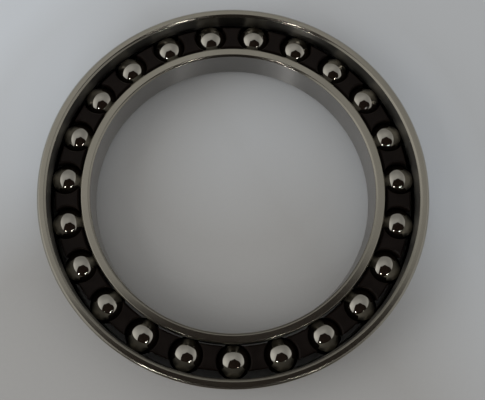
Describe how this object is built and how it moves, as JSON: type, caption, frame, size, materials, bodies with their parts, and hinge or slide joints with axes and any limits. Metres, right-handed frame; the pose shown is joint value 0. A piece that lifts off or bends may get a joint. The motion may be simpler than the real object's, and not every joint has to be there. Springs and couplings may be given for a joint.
{
  "type": "thin-section ball bearing",
  "caption": "Thin-section radial ball bearing: a thin outer ring and a narrower inner ring turn on polished balls in a dark plastic crown cage.",
  "frame": {"origin": "centre of the bearing: on the bore axis, in the plane of the ball centres, half way across both rings", "axes": "+Z along the bore axis, towards the side on which the cage's pockets are open; +X passes midway between two balls"},
  "size_m": [0.08, 0.08, 0.0116],
  "materials": {
    "outer_ring_steel": "fine ground side faces, polished shoulders and raceway",
    "inner_ring_steel": "fine ground side faces and bore, polished raceway",
    "cage_plastic": "satin moulded near-black plastic",
    "ball_steel": "mirror polished steel"
  },
  "bodies": {
    "outer_ring": {"outer_ring": "outer_ring_steel"},
    "inner_ring": {"inner_ring": "inner_ring_steel"},
    "cage": {"cage": "cage_plastic"},
    "ball_01": {"ball_01": "ball_steel"},
    "ball_02": {"ball_02": "ball_steel"},
    "ball_03": {"ball_03": "ball_steel"},
    "ball_04": {"ball_04": "ball_steel"},
    "ball_05": {"ball_05": "ball_steel"},
    "ball_06": {"ball_06": "ball_steel"},
    "ball_07": {"ball_07": "ball_steel"},
    "ball_08": {"ball_08": "ball_steel"},
    "ball_09": {"ball_09": "ball_steel"},
    "ball_10": {"ball_10": "ball_steel"},
    "ball_11": {"ball_11": "ball_steel"},
    "ball_12": {"ball_12": "ball_steel"},
    "ball_13": {"ball_13": "ball_steel"},
    "ball_14": {"ball_14": "ball_steel"},
    "ball_15": {"ball_15": "ball_steel"},
    "ball_16": {"ball_16": "ball_steel"},
    "ball_17": {"ball_17": "ball_steel"},
    "ball_18": {"ball_18": "ball_steel"},
    "ball_19": {"ball_19": "ball_steel"},
    "ball_20": {"ball_20": "ball_steel"},
    "ball_21": {"ball_21": "ball_steel"},
    "ball_22": {"ball_22": "ball_steel"},
    "ball_23": {"ball_23": "ball_steel"}
  },
  "joints": [
    {"name": "inner_ring_spin", "type": "hinge", "parent": "outer_ring", "child": "inner_ring", "pos_m": [0, 0, 0], "axis": [0, 0, 1], "continuous": true},
    {"name": "cage_spin", "type": "hinge", "parent": "outer_ring", "child": "cage", "pos_m": [0, 0, 0], "axis": [0, 0, 1], "continuous": true},
    {"name": "ball_01_spin", "type": "hinge", "parent": "cage", "child": "ball_01", "pos_m": [0.03443, 0.00473, 0], "axis": [0, 0, 1], "continuous": true},
    {"name": "ball_02_spin", "type": "hinge", "parent": "cage", "child": "ball_02", "pos_m": [0.03187, 0.01384, 0], "axis": [0, 0, 1], "continuous": true},
    {"name": "ball_03_spin", "type": "hinge", "parent": "cage", "child": "ball_03", "pos_m": [0.02696, 0.02193, 0], "axis": [0, 0, 1], "continuous": true},
    {"name": "ball_04_spin", "type": "hinge", "parent": "cage", "child": "ball_04", "pos_m": [0.02004, 0.02839, 0], "axis": [0, 0, 1], "continuous": true},
    {"name": "ball_05_spin", "type": "hinge", "parent": "cage", "child": "ball_05", "pos_m": [0.01164, 0.03274, 0], "axis": [0, 0, 1], "continuous": true},
    {"name": "ball_06_spin", "type": "hinge", "parent": "cage", "child": "ball_06", "pos_m": [0.00237, 0.03467, 0], "axis": [0, 0, 1], "continuous": true},
    {"name": "ball_07_spin", "type": "hinge", "parent": "cage", "child": "ball_07", "pos_m": [-0.00707, 0.03402, 0], "axis": [0, 0, 1], "continuous": true},
    {"name": "ball_08_spin", "type": "hinge", "parent": "cage", "child": "ball_08", "pos_m": [-0.01599, 0.03085, 0], "axis": [0, 0, 1], "continuous": true},
    {"name": "ball_09_spin", "type": "hinge", "parent": "cage", "child": "ball_09", "pos_m": [-0.02372, 0.0254, 0], "axis": [0, 0, 1], "continuous": true},
    {"name": "ball_10_spin", "type": "hinge", "parent": "cage", "child": "ball_10", "pos_m": [-0.02969, 0.01806, 0], "axis": [0, 0, 1], "continuous": true},
    {"name": "ball_11_spin", "type": "hinge", "parent": "cage", "child": "ball_11", "pos_m": [-0.03346, 0.00938, 0], "axis": [0, 0, 1], "continuous": true},
    {"name": "ball_12_spin", "type": "hinge", "parent": "cage", "child": "ball_12", "pos_m": [-0.03475, 0, 0], "axis": [0, 0, 1], "continuous": true},
    {"name": "ball_13_spin", "type": "hinge", "parent": "cage", "child": "ball_13", "pos_m": [-0.03346, -0.00938, 0], "axis": [0, 0, 1], "continuous": true},
    {"name": "ball_14_spin", "type": "hinge", "parent": "cage", "child": "ball_14", "pos_m": [-0.02969, -0.01806, 0], "axis": [0, 0, 1], "continuous": true},
    {"name": "ball_15_spin", "type": "hinge", "parent": "cage", "child": "ball_15", "pos_m": [-0.02372, -0.0254, 0], "axis": [0, 0, 1], "continuous": true},
    {"name": "ball_16_spin", "type": "hinge", "parent": "cage", "child": "ball_16", "pos_m": [-0.01599, -0.03085, 0], "axis": [0, 0, 1], "continuous": true},
    {"name": "ball_17_spin", "type": "hinge", "parent": "cage", "child": "ball_17", "pos_m": [-0.00707, -0.03402, 0], "axis": [0, 0, 1], "continuous": true},
    {"name": "ball_18_spin", "type": "hinge", "parent": "cage", "child": "ball_18", "pos_m": [0.00237, -0.03467, 0], "axis": [0, 0, 1], "continuous": true},
    {"name": "ball_19_spin", "type": "hinge", "parent": "cage", "child": "ball_19", "pos_m": [0.01164, -0.03274, 0], "axis": [0, 0, 1], "continuous": true},
    {"name": "ball_20_spin", "type": "hinge", "parent": "cage", "child": "ball_20", "pos_m": [0.02004, -0.02839, 0], "axis": [0, 0, 1], "continuous": true},
    {"name": "ball_21_spin", "type": "hinge", "parent": "cage", "child": "ball_21", "pos_m": [0.02696, -0.02193, 0], "axis": [0, 0, 1], "continuous": true},
    {"name": "ball_22_spin", "type": "hinge", "parent": "cage", "child": "ball_22", "pos_m": [0.03187, -0.01384, 0], "axis": [0, 0, 1], "continuous": true},
    {"name": "ball_23_spin", "type": "hinge", "parent": "cage", "child": "ball_23", "pos_m": [0.03443, -0.00473, 0], "axis": [0, 0, 1], "continuous": true}
  ],
  "couplings": [
    {"joint": "cage_spin", "follows": "inner_ring_spin", "ratio": 0.4486},
    {"joint": "ball_01_spin", "follows": "inner_ring_spin", "ratio": -4.8128},
    {"joint": "ball_02_spin", "follows": "inner_ring_spin", "ratio": -4.8128},
    {"joint": "ball_03_spin", "follows": "inner_ring_spin", "ratio": -4.8128},
    {"joint": "ball_04_spin", "follows": "inner_ring_spin", "ratio": -4.8128},
    {"joint": "ball_05_spin", "follows": "inner_ring_spin", "ratio": -4.8128},
    {"joint": "ball_06_spin", "follows": "inner_ring_spin", "ratio": -4.8128},
    {"joint": "ball_07_spin", "follows": "inner_ring_spin", "ratio": -4.8128},
    {"joint": "ball_08_spin", "follows": "inner_ring_spin", "ratio": -4.8128},
    {"joint": "ball_09_spin", "follows": "inner_ring_spin", "ratio": -4.8128},
    {"joint": "ball_10_spin", "follows": "inner_ring_spin", "ratio": -4.8128},
    {"joint": "ball_11_spin", "follows": "inner_ring_spin", "ratio": -4.8128},
    {"joint": "ball_12_spin", "follows": "inner_ring_spin", "ratio": -4.8128},
    {"joint": "ball_13_spin", "follows": "inner_ring_spin", "ratio": -4.8128},
    {"joint": "ball_14_spin", "follows": "inner_ring_spin", "ratio": -4.8128},
    {"joint": "ball_15_spin", "follows": "inner_ring_spin", "ratio": -4.8128},
    {"joint": "ball_16_spin", "follows": "inner_ring_spin", "ratio": -4.8128},
    {"joint": "ball_17_spin", "follows": "inner_ring_spin", "ratio": -4.8128},
    {"joint": "ball_18_spin", "follows": "inner_ring_spin", "ratio": -4.8128},
    {"joint": "ball_19_spin", "follows": "inner_ring_spin", "ratio": -4.8128},
    {"joint": "ball_20_spin", "follows": "inner_ring_spin", "ratio": -4.8128},
    {"joint": "ball_21_spin", "follows": "inner_ring_spin", "ratio": -4.8128},
    {"joint": "ball_22_spin", "follows": "inner_ring_spin", "ratio": -4.8128},
    {"joint": "ball_23_spin", "follows": "inner_ring_spin", "ratio": -4.8128}
  ]
}
